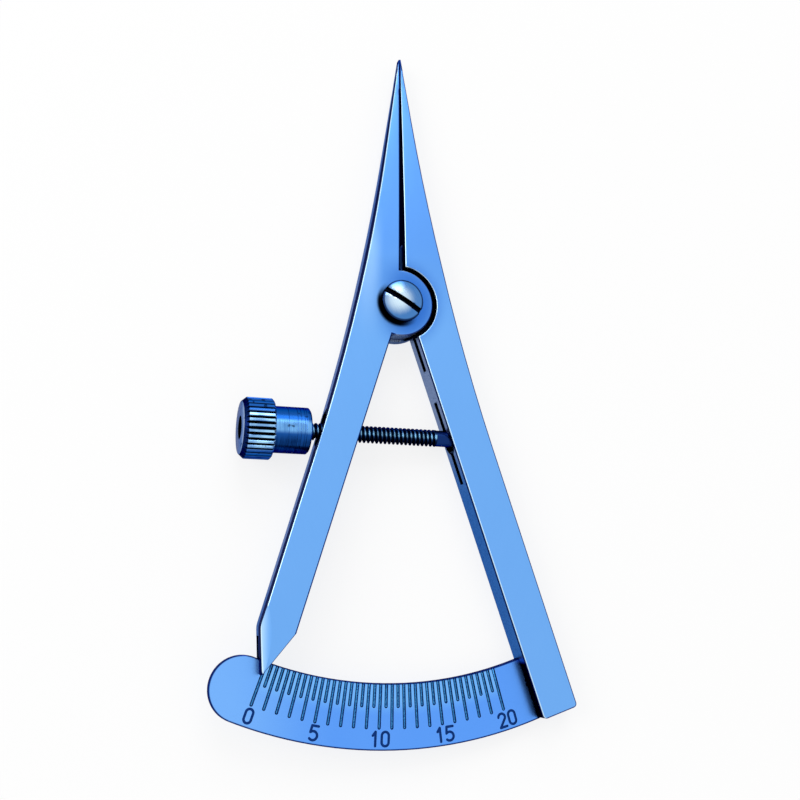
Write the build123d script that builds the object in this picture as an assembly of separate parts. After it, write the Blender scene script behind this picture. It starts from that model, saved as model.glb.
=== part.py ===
from build123d import *
import os
from math import acos, asin, atan, atan2, cos, degrees, radians, sin, sqrt, tan

# Surgical caliper with a scale from 0 to 20 mm, closed, lying with its engraved side up.
# The origin is on the pivot axis, in the plane of the arms' back faces.
# +Y runs to the jaw tips, +X to the scale arm, +Z out of the front faces. Millimetres.

# Reading and reach
reading_range = 20.0
tip_radius = 33.2
arm_thickness = 3.5

# Jaws
tip_thickness = 0.84
tip_clearance = 0.03
pointer_tip_width = 0.08
scale_tip_width = 0.10
pointer_jaw_angle = 7.8
scale_jaw_angle = 9.3
pointer_hub_gap = 0.15
scale_hub_gap = 0.60
taper_start = 5.2
taper_middle = 18.0
taper_middle_thickness = 2.6

# Legs: an offset is a face's distance from the pivot axis along X, at the pivot's level
pointer_leg_angle = 16.26
pointer_leg_offset = 4.71
pointer_inner_angle = 16.99
pointer_inner_offset = -0.20
pointer_flare_radius = 265.0
scale_leg_angle = 19.03
scale_leg_offset = 6.10
scale_inner_angle = 19.27
scale_inner_offset = 0.94
scale_flare_radius = 256.0

# Hub: the pointer arm's boss lies on the scale arm's lap, and its tongue runs in the saw slot
boss_radius = 4.21
lap_radius = 4.50
lap_thickness = 1.25
hub_clearance = 0.52
layer_clearance = 0.04
tongue_radius = 5.60
tongue_half_angle = 45.0
tongue_thickness = 0.92
tongue_clearance = 0.15
saw_width = 1.0
hub_saw_radius = 11.0
slot_run_out = 9.0

# Pivot screw
screw_shank_radius = 1.50
screw_thread_radius = 1.20
screw_head_radius = 2.60
screw_head_side = 1.06
screw_rim_round = 0.14
screw_dome_height = 0.42
screw_slot_width = 0.68
screw_slot_depth = 0.95
screw_slot_angle = -29.0
running_clearance = 0.03
seat_gap = 0.01

# Scale plate
plate_inner_radius = 45.95
plate_width = 7.62
plate_back = 0.50
plate_thickness = 0.95
plate_slit_clearance = 0.02
plate_cap_angle = 21.0
zero_mark_angle = 19.12
plate_end_wall = 0.60
plate_pin_radius = 0.60
plate_pin_spacing = 3.6
front_skin = 0.60

# Engraving
mark_width = 0.40
mark_floor_width = 0.12
mark_depth = 0.13
long_mark_length = 5.25
short_mark_length = 2.82
digit_depth = 0.10
digit_height = 1.90
digit_width = 1.15
digit_stroke = 0.30
digit_pitch = 1.30
digit_inset = 6.29
digit_shift = 0.15

# Feet
point_overlap = 1.65
point_lead = 0.42
point_outer_length = 5.0
point_inner_length = 5.6
point_shoulder_round = 2.5
facet_length = 7.6
facet_tip_inset = 0.10
facet_bow = 0.65
facet_tilt = 14.0
fork_headroom = 2.35
fork_clearance = 0.12
foot_corner_radius = 0.50
foot_setback = 0.02

# Spindle: places along it are counted from the swivel's pin towards the knob
spindle_drop = 16.5
spindle_radius = 1.05
thread_pitch = 0.53
thread_depth = 0.29
thread_crest = 0.12
thread_root = 0.05
thread_start = 3.35
thread_length = 16.6
spindle_length = 25.9
spindle_tail_radius = 0.95
journal_radius = 0.55
journal_length = 1.60
journal_neck_radius = 0.35
end_play = 0.05

# Swivel and its slit in the scale arm
swivel_depth = 1.60
swivel_barrel_radius = 1.00
swivel_barrel_start = 1.32
tang_thickness = 0.90
tang_radius = 1.15
tang_width = 1.70
swivel_pin_radius = 0.50
journal_pin_radius = 0.25
tang_saw_radius = 6.0
tang_slit_length = 10.7
mouth_radius = 1.50
mouth_depth = 0.75

# Trunnion nut and its window in the pointer arm
nut_depth = 1.95
nut_radius = 1.50
nut_skin = 0.30
nut_recess = 0.30
nut_thread_clearance = 0.12
window_width = 2.50
window_length = 4.80

# Knob
knob_start = 19.35
knob_length = 8.20
knob_radius = 3.66
knob_head_length = 3.75
knob_front_radius = 3.15
knob_front_chamfer = 0.60
knob_back_chamfer = 0.20
knob_hole_radius = 1.35
knob_hole_depth = 1.60
collar_radius = 2.80
collar_chamfer = 0.22
knurl_count = 34
knurl_depth = 0.32
knurl_crest_share = 0.45
groove_depth = 0.06
groove_width = 0.10
groove_places = [0.65, 0.90, 1.32, 1.74, 2.80]

middle = arm_thickness / 2
far = 4 * tip_radius
plate_middle = plate_back + plate_thickness / 2
plate_outer_radius = plate_inner_radius + plate_width
point_radius = plate_inner_radius + point_overlap
hub_seat = lap_thickness + layer_clearance
head_seat = arm_thickness + layer_clearance


def slope(angle):
    return tan(radians(angle))


def polar(radius, angle):
    """A point at this radius, at this angle from -Y, counted towards +X."""
    return (radius * sin(radians(angle)), -radius * cos(radians(angle)))


def opened(reading):
    """Turn of the pointer arm, in degrees, that sets the tips this far apart."""
    return degrees(2 * asin(reading / 2 / tip_radius))


def leg_point(offset, angle, radius):
    """Where a leg's face, in outward x, reaches this radius from the pivot."""
    t = slope(angle)
    root = sqrt((offset * t) ** 2 - (1 + t * t) * (offset ** 2 - radius ** 2))
    drop = (root - offset * t) / (1 + t * t)
    return (offset + t * drop, -drop)


def flare_corner(tip_x, jaw_angle, offset, leg_angle):
    """Where the lines of a jaw's and a leg's outer faces cross."""
    y = (tip_x + slope(jaw_angle) * tip_radius - offset) / (slope(jaw_angle) - slope(leg_angle))
    return (offset - slope(leg_angle) * y, y)


def disc(radius, bottom, top, x=0, y=0):
    return Pos(x, y, bottom) * extrude(Circle(radius), top - bottom)


# The swivel's pin lies in the scale arm and the nut's axis in the pointer arm, level with each other
pin_x = (scale_inner_offset + slope(scale_inner_angle) * spindle_drop
         + swivel_depth / cos(radians(scale_inner_angle)))
nut_x = -(pointer_leg_offset + slope(pointer_leg_angle) * spindle_drop
          - nut_depth / cos(radians(pointer_leg_angle)))
spindle_frame = Pos(pin_x, -spindle_drop, middle) * Rot(0, 0, 180)


def turned(points):
    """A solid of revolution about the spindle's axis, from (place along it, radius) pairs."""
    face = make_face(Polyline([(points[0][0], 0)] + points + [(points[-1][0], 0)], close=True))
    return spindle_frame * revolve(face, Axis.X)


def arm_blank(side, points, corner, flare_radius):
    """An arm's outline at full thickness, thinned towards the tip on both faces."""
    outline = make_face(Polyline([(side * x, y) for x, y in points], close=True))
    bend = outline.vertices().sort_by_distance(Vector(side * corner[0], corner[1], 0))[0]
    outline = fillet(bend, flare_radius)
    halves = [(taper_start, middle), (taper_middle, taper_middle_thickness / 2), (tip_radius, tip_thickness / 2)]
    front = ThreePointArc(*[(y, middle + half) for y, half in halves])
    back = ThreePointArc(*[(y, middle - half) for y, half in halves])
    rest = Polyline((taper_start, arm_thickness), (-far, arm_thickness), (-far, 0), (taper_start, 0))
    profile = make_face([front, back, Line(front @ 1, back @ 1), rest])
    return extrude(outline, arm_thickness) & extrude(Plane.YZ * profile, far, both=True)


def pointer_arm():
    tip_x = tip_clearance + pointer_tip_width
    corner = flare_corner(tip_x, pointer_jaw_angle, pointer_leg_offset, pointer_leg_angle)
    shoulder = leg_point(pointer_leg_offset, pointer_leg_angle, point_radius - point_outer_length)
    point = polar(point_radius, zero_mark_angle + point_lead)
    arm = arm_blank(-1, [
        (tip_clearance, tip_radius),
        (tip_x, tip_radius),
        corner,
        shoulder,
        point,
        leg_point(pointer_inner_offset, pointer_inner_angle, point_radius - point_inner_length),
        (pointer_inner_offset, 0),
        (pointer_hub_gap, boss_radius),
    ], corner, pointer_flare_radius)
    shoulder_edges = arm.edges().filter_by(Axis.Z).sort_by_distance(Vector(-shoulder[0], shoulder[1], middle))
    arm = fillet(shoulder_edges[0], point_shoulder_round)

    # Hub: boss over the lap, tongue for the saw slot, room for the lap behind, bore for the screw
    arm += disc(boss_radius, hub_seat, arm_thickness)
    reach = 2 * tongue_radius
    half = slope(tongue_half_angle) * reach
    sector = make_face(Polyline((0, 0), (reach, -half), (reach, half), close=True)) & Circle(tongue_radius)
    arm += Pos(0, 0, hub_seat) * extrude(sector, tongue_thickness)
    arm -= disc(lap_radius + hub_clearance, 0, hub_seat)
    arm -= disc(screw_shank_radius + running_clearance, 0, arm_thickness)

    # Trunnion nut's bore from the back, and the window that the spindle swings in
    arm -= disc(nut_radius + running_clearance, 0, arm_thickness - nut_skin, nut_x, -spindle_drop)
    leg_turn = Rot(0, 0, -(pointer_leg_angle + pointer_inner_angle) / 2)
    window = extrude(Plane.YZ * SlotOverall(window_length, window_width), 2 * arm_thickness, both=True)
    arm -= Pos(nut_x, -spindle_drop, middle) * leg_turn * window

    # Fork that straddles the scale plate
    fork = Circle(far) - Circle(plate_inner_radius - fork_headroom)
    arm -= Pos(0, 0, plate_middle) * extrude(fork, plate_thickness / 2 + fork_clearance, both=True)

    # Facet ground along the outer edge of the point, bowed into the front face
    top = leg_point(pointer_leg_offset, pointer_leg_angle, point_radius - facet_length)
    start = Vector(-top[0], top[1])
    end = Vector(-point[0] + facet_tip_inset, point[1])
    chord = (end - start).length
    wheel = (chord ** 2 / 4 + facet_bow ** 2) / (2 * facet_bow)
    outward = (end - start).normalized().rotate(Axis.Z, -90)
    centre = (start + end) / 2 + outward * (wheel - facet_bow)
    dish = Cone(0, wheel, wheel * slope(facet_tilt), align=(Align.CENTER, Align.CENTER, Align.MAX))
    arm -= Pos(centre.X, centre.Y, arm_thickness) * dish
    return arm


def scale_arm():
    tip_x = tip_clearance + scale_tip_width
    corner = flare_corner(tip_x, scale_jaw_angle, scale_leg_offset, scale_leg_angle)
    foot_inner = leg_point(scale_inner_offset, scale_inner_angle, plate_outer_radius - foot_setback)
    arm = arm_blank(1, [
        (tip_clearance, tip_radius),
        (tip_x, tip_radius),
        corner,
        leg_point(scale_leg_offset, scale_leg_angle, far / 2),
        leg_point(scale_inner_offset, scale_inner_angle, far / 2),
        (scale_inner_offset, 0),
        (scale_hub_gap, boss_radius),
    ], corner, scale_flare_radius)

    # Foot, cut square to the leg's inner face
    below = Pos(*foot_inner) * Rot(0, 0, scale_inner_angle) * Rectangle(far, far, align=(Align.CENTER, Align.MAX))
    arm -= extrude(below, arm_thickness)
    foot_edges = arm.edges().filter_by(Axis.Z).sort_by(Axis.Y)[:2]
    arm = fillet(foot_edges, foot_corner_radius)

    # Hub: round recess for the boss, lap behind, threaded hole, and the saw slot for the tongue
    arm -= disc(boss_radius + hub_clearance, lap_thickness, arm_thickness)
    arm += disc(lap_radius, 0, lap_thickness)
    arm -= disc(screw_thread_radius + seat_gap, 0, lap_thickness)
    saw_x, saw_y = hub_saw_centre()
    arm -= disc(hub_saw_radius, lap_thickness, lap_thickness + saw_width, saw_x, saw_y)

    # Slit for the swivel's tang, mouth for its barrel, and its pin's hole from the back
    at_pin = Pos(pin_x, -spindle_drop, middle) * Rot(0, 0, scale_inner_angle)
    saw_offset = sqrt(tang_saw_radius ** 2 - (tang_slit_length / 2) ** 2)
    saw = extrude(Circle(tang_saw_radius), saw_width / 2, both=True)
    arm -= at_pin * Pos(-swivel_depth - saw_offset, 0, 0) * saw
    mouth = extrude(Plane.YZ * Circle(mouth_radius), mouth_depth, both=True)
    arm -= at_pin * Pos(-swivel_depth, 0, 0) * mouth
    arm -= disc(swivel_pin_radius + seat_gap, 0, arm_thickness - front_skin, pin_x, -spindle_drop)

    # Slit in the foot for the scale plate, and the holes for its pins
    slit = plate_outline(plate_slit_clearance)
    arm -= Pos(0, 0, plate_middle) * extrude(slit, plate_thickness / 2 + plate_slit_clearance, both=True)
    for x, y in plate_pin_places():
        arm -= disc(plate_pin_radius + seat_gap, 0, arm_thickness - front_skin, x, y)
    return arm


def hub_saw_centre():
    """The saw's edge passes just outside the tongue and leaves the leg at slot_run_out."""
    run_x, run_y = leg_point(scale_inner_offset, scale_inner_angle, slot_run_out)
    reach = hub_saw_radius - tongue_radius - tongue_clearance
    cosine = (slot_run_out ** 2 + reach ** 2 - hub_saw_radius ** 2) / (2 * slot_run_out * reach)
    direction = atan2(run_y, run_x) - acos(cosine)
    return (reach * cos(direction), reach * sin(direction))


def plate_outline(grown=0):
    """A band round the pivot with a full round left end; its right end stays inside the foot."""
    ring = Circle(plate_outer_radius + grown) - Circle(plate_inner_radius - grown)
    end_x = scale_leg_offset - (plate_end_wall - grown) / cos(radians(scale_leg_angle))
    field = make_face(Polyline(
        (0, 0),
        polar(far, -plate_cap_angle),
        (0, -far),
        (end_x + slope(scale_leg_angle) * far, -far),
        (end_x, 0),
        close=True,
    ))
    cap_radius = (plate_outer_radius - plate_inner_radius) / 2 + grown
    cap_x, cap_y = polar((plate_inner_radius + plate_outer_radius) / 2, -plate_cap_angle)
    return (ring & field) + Pos(cap_x, cap_y) * Circle(cap_radius)


def plate_pin_places():
    """Two places midway across the foot, either side of the plate's middle."""
    centre = (plate_inner_radius + plate_outer_radius) / 2
    places = []
    for radius in (centre - plate_pin_spacing / 2, centre + plate_pin_spacing / 2):
        inner = leg_point(scale_inner_offset, scale_inner_angle, radius)
        outer = leg_point(scale_leg_offset, scale_leg_angle, radius)
        places.append(((inner[0] + outer[0]) / 2, (inner[1] + outer[1]) / 2))
    return places


def stroke(line):
    """A groove along a line, round at its ends and corners."""
    corners = [Pos(*vertex) * Circle(digit_stroke / 2) for vertex in line.vertices()]
    return [trace(edge, digit_stroke) for edge in line.edges()] + corners


def digit(character):
    """A plain figure, upright about the origin."""
    a = (digit_width - digit_stroke) / 2
    b = (digit_height - digit_stroke) / 2
    if character == "0":
        outer = SlotOverall(digit_height, digit_width, rotation=90)
        return outer - SlotOverall(digit_height - 2 * digit_stroke, digit_width - 2 * digit_stroke, rotation=90)
    if character == "1":
        return Sketch() + stroke(Polyline((-a / 2, b - a), (a / 4, b), (a / 4, -b)))
    if character == "2":
        bow = CenterArc((0, b - a), a, 170, -200)
        return Sketch() + stroke(bow) + stroke(Polyline(bow @ 1, (-a, -b), (a, -b)))
    bar = Polyline((a, b), (-0.8 * a, b), (-a, a / 8))
    return Sketch() + stroke(bar) + stroke(ThreePointArc((-a, a / 8), (a, a - b), (-a, a / 3 - b)))


def number(value):
    characters = str(value)
    first = -(len(characters) - 1) / 2 * digit_pitch
    return Sketch() + [Pos(first + i * digit_pitch, 0) * digit(c) for i, c in enumerate(characters)]


def marks():
    """A long mark for each millimetre and a short one for each half, with sloping walls."""
    taper = degrees(atan((mark_width - mark_floor_width) / 2 / mark_depth))
    cuts = []
    for step in range(2 * int(reading_range) + 1):
        length = short_mark_length if step % 2 else long_mark_length
        slot = SlotOverall(length + mark_width, mark_width, rotation=90)
        mark = Pos(0, -plate_inner_radius - (length - mark_width) / 2) * extrude(slot, -mark_depth, taper=taper)
        cuts.append(Rot(0, 0, opened(step / 2) - zero_mark_angle) * mark)
    return cuts


def figures():
    """A number at every fifth millimetre."""
    sketch = Sketch()
    for reading in range(0, int(reading_range) + 1, 5):
        turn = Rot(0, 0, opened(reading) - zero_mark_angle + digit_shift)
        sketch += turn * Pos(0, -plate_inner_radius - digit_inset) * number(reading)
    return extrude(sketch, -digit_depth)


def scale_plate():
    plate = Pos(0, 0, plate_back) * extrude(plate_outline(), plate_thickness)
    for x, y in plate_pin_places():
        plate -= disc(plate_pin_radius + seat_gap, 0, arm_thickness, x, y)
    front = Pos(0, 0, plate_back + plate_thickness)
    return plate - [front * cut for cut in marks()] - front * figures()


def plate_pins():
    length = arm_thickness - front_skin - seat_gap
    return [disc(plate_pin_radius, 0, length, x, y) for x, y in plate_pin_places()]


def pivot_screw():
    screw = disc(screw_thread_radius, 0, lap_thickness)
    screw += disc(screw_shank_radius, lap_thickness, head_seat)
    rim = head_seat + screw_head_side
    side = Polyline((0, head_seat), (screw_head_radius, head_seat), (screw_head_radius, rim))
    dome = ThreePointArc((-screw_head_radius, rim), (0, rim + screw_dome_height), (screw_head_radius, rim))
    half_dome = dome.trim(0.5, 1)
    profile = make_face([side, half_dome, Line(half_dome @ 0, (0, head_seat))])
    corner = profile.vertices().sort_by_distance(Vector(screw_head_radius, rim, 0))[0]
    screw += revolve(Plane.XZ * fillet(corner, screw_rim_round), Axis.Z)
    slot = Box(3 * screw_head_radius, screw_slot_width, 2 * screw_slot_depth)
    return screw - Pos(0, 0, rim + screw_dome_height) * Rot(0, 0, screw_slot_angle) * slot


def spindle():
    """Journal with its neck, a ring-grooved thread, and a plain tail for the knob."""
    start = thread_start - journal_length
    neck = start + journal_length / 2
    half_neck = journal_pin_radius + end_play
    points = [
        (start, journal_radius),
        (neck - half_neck, journal_radius),
        (neck - half_neck, journal_neck_radius),
        (neck + half_neck, journal_neck_radius),
        (neck + half_neck, journal_radius),
        (thread_start, journal_radius),
    ]
    flank = (thread_pitch - thread_crest - thread_root) / 2
    for turn in range(int(thread_length / thread_pitch)):
        u = thread_start + turn * thread_pitch
        points += [
            (u, spindle_radius),
            (u + thread_crest, spindle_radius),
            (u + thread_crest + flank, spindle_radius - thread_depth),
            (u + thread_crest + flank + thread_root, spindle_radius - thread_depth),
        ]
    thread_end = thread_start + thread_length
    points += [
        (thread_end, spindle_radius),
        (thread_end + thread_crest, spindle_radius),
        (thread_end + thread_crest, spindle_tail_radius),
        (spindle_length, spindle_tail_radius),
    ]
    return turned(points)


def journal_pin():
    """A pin beside the spindle's axis that runs in the journal's neck, flush with the barrel."""
    u = thread_start - journal_length / 2
    side = journal_neck_radius + running_clearance + journal_pin_radius
    pin = spindle_frame * Pos(u, side, 0) * extrude(Circle(journal_pin_radius), swivel_barrel_radius, both=True)
    barrel = turned([(swivel_barrel_start, swivel_barrel_radius), (thread_start, swivel_barrel_radius)])
    return pin & barrel


def swivel():
    """Barrel that the spindle's journal turns in, with a flat tang hinged on the swivel's pin."""
    barrel_end = thread_start - end_play
    piece = turned([(swivel_barrel_start, swivel_barrel_radius), (barrel_end, swivel_barrel_radius)])
    tang = Circle(tang_radius) + Rectangle(swivel_barrel_start + journal_radius, tang_width,
                                           align=(Align.MIN, Align.CENTER))
    piece += spindle_frame * extrude(tang, tang_thickness / 2, both=True)
    bore_radius = journal_radius + running_clearance
    piece -= turned([(thread_start - journal_length - end_play, bore_radius), (thread_start, bore_radius)])
    piece -= disc(swivel_pin_radius + running_clearance, 0, arm_thickness, pin_x, -spindle_drop)
    return piece - journal_pin()


def swivel_pin():
    return disc(swivel_pin_radius, 0, arm_thickness - front_skin - seat_gap, pin_x, -spindle_drop)


def trunnion_nut():
    """Cross nut: a round block on its own axis, with the spindle's bore through it."""
    top = arm_thickness - nut_skin - layer_clearance
    block = disc(nut_radius, nut_recess, top, nut_x, -spindle_drop)
    bore_radius = spindle_radius + nut_thread_clearance
    return block - turned([(thread_start, bore_radius), (knob_start, bore_radius)])


def knurl():
    """Toothed section across the knob's axis: flat crests with V grooves between them."""
    step = 360 / knurl_count
    points = []
    for tooth in range(knurl_count):
        for radius, place in ((knob_radius, 0), (knob_radius, knurl_crest_share),
                              (knob_radius - knurl_depth, (1 + knurl_crest_share) / 2)):
            points.append(polar(radius, (tooth + place) * step))
    return make_face(Polyline(points, close=True))


def knob():
    """Knurled head and plain collar in one piece, fixed on the spindle's tail."""
    head_start = knob_start + knob_length - knob_head_length
    end = knob_start + knob_length
    collar = turned([
        (knob_start, collar_radius - collar_chamfer),
        (knob_start + collar_chamfer, collar_radius),
        (head_start, collar_radius),
    ])
    envelope = turned([
        (head_start, knob_radius - knob_back_chamfer),
        (head_start + knob_back_chamfer, knob_radius),
        (end - knob_front_chamfer, knob_radius),
        (end, knob_front_radius),
    ])
    toothed = spindle_frame * Pos(head_start, 0, 0) * extrude(Plane.YZ * knurl(), knob_head_length)
    piece = collar + (envelope & toothed)
    for place in groove_places:
        u = knob_start + place
        ring = [(u, 2 * collar_radius), (u + groove_width, 2 * collar_radius)]
        core = [(u, collar_radius - groove_depth), (u + groove_width, collar_radius - groove_depth)]
        piece -= turned(ring) - turned(core)
    thread_seat = thread_start + thread_length + thread_crest
    tail_bore = spindle_tail_radius + seat_gap
    piece -= turned([
        (knob_start, spindle_radius + seat_gap),
        (thread_seat, spindle_radius + seat_gap),
        (thread_seat, tail_bore),
        (end - knob_hole_depth, tail_bore),
        (end - knob_hole_depth, knob_hole_radius),
        (end, knob_hole_radius),
    ])
    return piece


os.makedirs("parts", exist_ok=True)
for piece in (pointer_arm, scale_arm, scale_plate, plate_pins, pivot_screw, spindle, knob,
              swivel, swivel_pin, journal_pin, trunnion_nut):
    shape = piece()
    if isinstance(shape, list):
        shape = Compound(children=shape)
    export_step(shape, "parts/" + piece.__name__ + ".step")
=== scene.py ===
# Surgical caliper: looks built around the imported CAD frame
import math
import bmesh
import bpy
import numpy as np
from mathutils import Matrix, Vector


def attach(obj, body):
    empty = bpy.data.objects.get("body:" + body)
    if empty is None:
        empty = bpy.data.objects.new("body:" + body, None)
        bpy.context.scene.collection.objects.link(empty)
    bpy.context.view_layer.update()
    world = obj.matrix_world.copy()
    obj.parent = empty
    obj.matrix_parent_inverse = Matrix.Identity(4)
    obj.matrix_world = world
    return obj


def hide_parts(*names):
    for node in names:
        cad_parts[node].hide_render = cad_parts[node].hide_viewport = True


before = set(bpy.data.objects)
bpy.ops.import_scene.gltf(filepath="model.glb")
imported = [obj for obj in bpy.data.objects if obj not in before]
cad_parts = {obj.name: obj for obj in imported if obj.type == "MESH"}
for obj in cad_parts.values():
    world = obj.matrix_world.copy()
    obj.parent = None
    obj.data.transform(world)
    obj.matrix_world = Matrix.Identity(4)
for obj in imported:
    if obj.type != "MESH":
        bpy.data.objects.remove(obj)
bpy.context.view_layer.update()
mm = 0.001


# Colours are written as they look on a screen, 0 to 255
def paint(red, green, blue):
    tone = np.array([red, green, blue]) / 255
    linear = np.where(tone <= 0.04045, tone / 12.92, ((tone + 0.055) / 1.055) ** 2.4)
    return (*(float(part) for part in linear), 1.0)


# The camera stands where the photograph's did
view = {
    "place": (-39.703, -39.007, 133.989),   # mm
    "turn": (10.9205, -17.0365, 0.4552),    # degrees
    "lens": 51.364,
    "sensor": 36,
    "shift": (-0.000625, 0.000625),         # half a pixel of the 800
    "nearest": 5,                           # mm
}


def placeCamera():
    data = bpy.data.cameras.new("camera")
    data.lens = view["lens"]
    data.sensor_width = view["sensor"]
    data.shift_x, data.shift_y = view["shift"]
    data.clip_start = view["nearest"] * mm
    camera = bpy.data.objects.new("camera", data)
    camera.location = [part * mm for part in view["place"]]
    camera.rotation_euler = [math.radians(angle) for angle in view["turn"]]
    bpy.context.scene.collection.objects.link(camera)
    bpy.context.scene.camera = camera


placeCamera()
bpy.context.scene.view_settings.view_transform = "Standard"
print("camera placed")


# Short ways to add nodes: a value given to one is a number, a colour or another node's socket
def addNode(tree, kind, inputs=None, **settings):
    node = tree.nodes.new(kind)
    for name, value in settings.items():
        setattr(node, name, value)
    for name, value in (inputs or {}).items():
        socket = node.inputs[name]
        if isinstance(value, bpy.types.NodeSocket):
            tree.links.new(value, socket)
        else:
            socket.default_value = value
    return node


def calc(tree, operation, first, second=0.0, third=0.0, clamp=False):
    inputs = {0: first, 1: second, 2: third}
    return addNode(tree, "ShaderNodeMath", inputs, operation=operation, use_clamp=clamp).outputs[0]


# Square root of the sum of two squares
def distance(tree, x, y):
    return calc(tree, "SQRT", calc(tree, "MULTIPLY_ADD", x, x, calc(tree, "MULTIPLY", y, y)))


def separate(tree, vector):
    return addNode(tree, "ShaderNodeSeparateXYZ", {0: vector}).outputs


def inMm(tree, place):
    return [calc(tree, "MULTIPLY", part, 1 / mm) for part in separate(tree, place)]


def fade(tree, value, low, high, toLow=0.0, toHigh=1.0, kind="SMOOTHSTEP"):
    inputs = {"Value": value, "From Min": low, "From Max": high, "To Min": toLow, "To Max": toHigh}
    return addNode(tree, "ShaderNodeMapRange", inputs, interpolation_type=kind).outputs["Result"]


# The product of fades, each over the limits that have its name in the piece's dictionary
def mask(tree, limits, **values):
    result = None
    for name, value in values.items():
        share = fade(tree, value, *limits[name])
        result = share if result is None else calc(tree, "MULTIPLY", result, share)
    return result


def blendColors(tree, factor, first, second):
    inputs = {0: factor, 6: first, 7: second}
    return addNode(tree, "ShaderNodeMix", inputs, data_type="RGBA", clamp_factor=True).outputs[2]


def grain(tree, vector, scale, detail=2.0, roughness=0.5):
    inputs = {"Vector": vector, "Scale": scale, "Detail": detail, "Roughness": roughness}
    return addNode(tree, "ShaderNodeTexNoise", inputs).outputs["Fac"]


def stretch(tree, vector, scale):
    return addNode(tree, "ShaderNodeMapping", {"Vector": vector, "Scale": scale}).outputs["Vector"]


def turnFlat(tree, vector, angle):
    return addNode(tree, "ShaderNodeVectorRotate", {"Vector": vector, "Angle": angle},
                   rotation_type="Z_AXIS").outputs[0]


def newGroup(name, inputs, outputs):
    tree = bpy.data.node_groups.new(name, "ShaderNodeTree")
    for label, kind, default in inputs:
        tree.interface.new_socket(label, in_out="INPUT", socket_type=kind).default_value = default
    for label, kind in outputs:
        tree.interface.new_socket(label, in_out="OUTPUT", socket_type=kind)
    source = tree.nodes.new("NodeGroupInput")
    sink = tree.nodes.new("NodeGroupOutput")
    return tree, source.outputs, sink.inputs


def useGroup(tree, group, **values):
    return addNode(tree, "ShaderNodeGroup", values, node_tree=group).outputs


flatTint = (0.12, 0.17, 0.36, 1)    # metal seen at a flat angle stays dark


def newMaterial(name, roughness, metallic=1.0):
    material = bpy.data.materials.new(name)
    material.use_nodes = True
    tree = material.node_tree
    shader = tree.nodes["Principled BSDF"]
    shader.inputs["Metallic"].default_value = metallic
    shader.inputs["Roughness"].default_value = roughness
    if metallic:
        shader.inputs["Specular Tint"].default_value = flatTint
    return material, tree, shader, tree.nodes.new("ShaderNodeTexCoord").outputs


# Colour and roughness go into the shader, and the roughness varies by spread round its middle
def connect(tree, shader, look, color, variation):
    tree.links.new(color, shader.inputs["Base Color"])
    rough = calc(tree, "MULTIPLY_ADD", variation, look["spread"], look["roughness"] - look["spread"] / 2)
    tree.links.new(rough, shader.inputs["Roughness"])


def addBump(tree, shader, look, height):
    strength, depth = look["bump"]
    bump = addNode(tree, "ShaderNodeBump", {"Height": height, "Strength": strength, "Distance": depth * mm})
    tree.links.new(bump.outputs["Normal"], shader.inputs["Normal"])


# Limits of a surface's flatness, which is 1 on the flat front and back and 0 on an upright side, and
# of how far its normal leans to the left
sideFades = {
    "side": (0.25, 0.80),
    "rim": (0.80, 0.955),
    "rightRim": (0.97, 0.999),
    "left": (-0.25, 0.25),
    "right": (-0.02, -0.12),
}
leftWay = (-0.95, 0.3)      # the light's left, along X and Y


# Masks for a ground and polished block: how far a surface has turned from the flat front or back
# to its side, how much of it is the rounded edge between, and whether it looks to the left
def makeSideGroup():
    floatKind = "NodeSocketFloat"
    tree, given, out = newGroup("sideMasks", [("Normal", "NodeSocketVector", (0, 0, 1))],
                                [("Rim", floatKind), ("Side", floatKind), ("Left", floatKind)])
    normal = separate(tree, given["Normal"])
    flatness = calc(tree, "ABSOLUTE", normal["Z"])
    leftward = calc(tree, "MULTIPLY", normal["X"], leftWay[0])
    leftward = calc(tree, "MULTIPLY_ADD", normal["Y"], leftWay[1], leftward)
    side = calc(tree, "SUBTRACT", 1.0, mask(tree, sideFades, side=flatness), clamp=True)
    rim = calc(tree, "SUBTRACT", 1.0, mask(tree, sideFades, rim=flatness), clamp=True)
    rightRim = calc(tree, "SUBTRACT", 1.0, mask(tree, sideFades, rightRim=flatness), clamp=True)
    rightRim = calc(tree, "MULTIPLY", rightRim, mask(tree, sideFades, right=leftward))
    tree.links.new(calc(tree, "MAXIMUM", rim, rightRim), out["Rim"])
    tree.links.new(side, out["Side"])
    tree.links.new(mask(tree, sideFades, left=leftward), out["Left"])
    return tree


satinGrain = {
    "streaks": (9000, 260, 9000),       # long along Y before they are turned
    "streakGrain": (1.0, 3.0, 0.6),     # scale, detail and roughness
    "clouds": 130.0,
}


# Fine polishing haze: long streaks along one direction and soft cloudy patches
def makeSatinGroup():
    floatKind = "NodeSocketFloat"
    tree, given, out = newGroup("satin", [("Position", "NodeSocketVector", (0, 0, 0)), ("Angle", floatKind, 0.0),
                                          ("Streaks", floatKind, 0.5), ("Clouds", floatKind, 0.5)],
                                [("Tone", floatKind), ("Streak", floatKind)])
    turned = turnFlat(tree, given["Position"], given["Angle"])
    streak = grain(tree, stretch(tree, turned, satinGrain["streaks"]), *satinGrain["streakGrain"])
    cloud = grain(tree, given["Position"], satinGrain["clouds"])
    tone = calc(tree, "MULTIPLY", calc(tree, "SUBTRACT", streak, 0.5), given["Streaks"])
    soft = calc(tree, "MULTIPLY", calc(tree, "SUBTRACT", cloud, 0.5), given["Clouds"])
    tree.links.new(calc(tree, "ADD", tone, soft), out["Tone"])
    tree.links.new(streak, out["Streak"])
    return tree


sideMasks = makeSideGroup()
satin = makeSatinGroup()


def addSatin(tree, where, look, angle):
    streaks, clouds = look["satin"]
    return useGroup(tree, satin, Position=where["Object"], Angle=math.radians(angle),
                    Streaks=streaks, Clouds=clouds)


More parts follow.
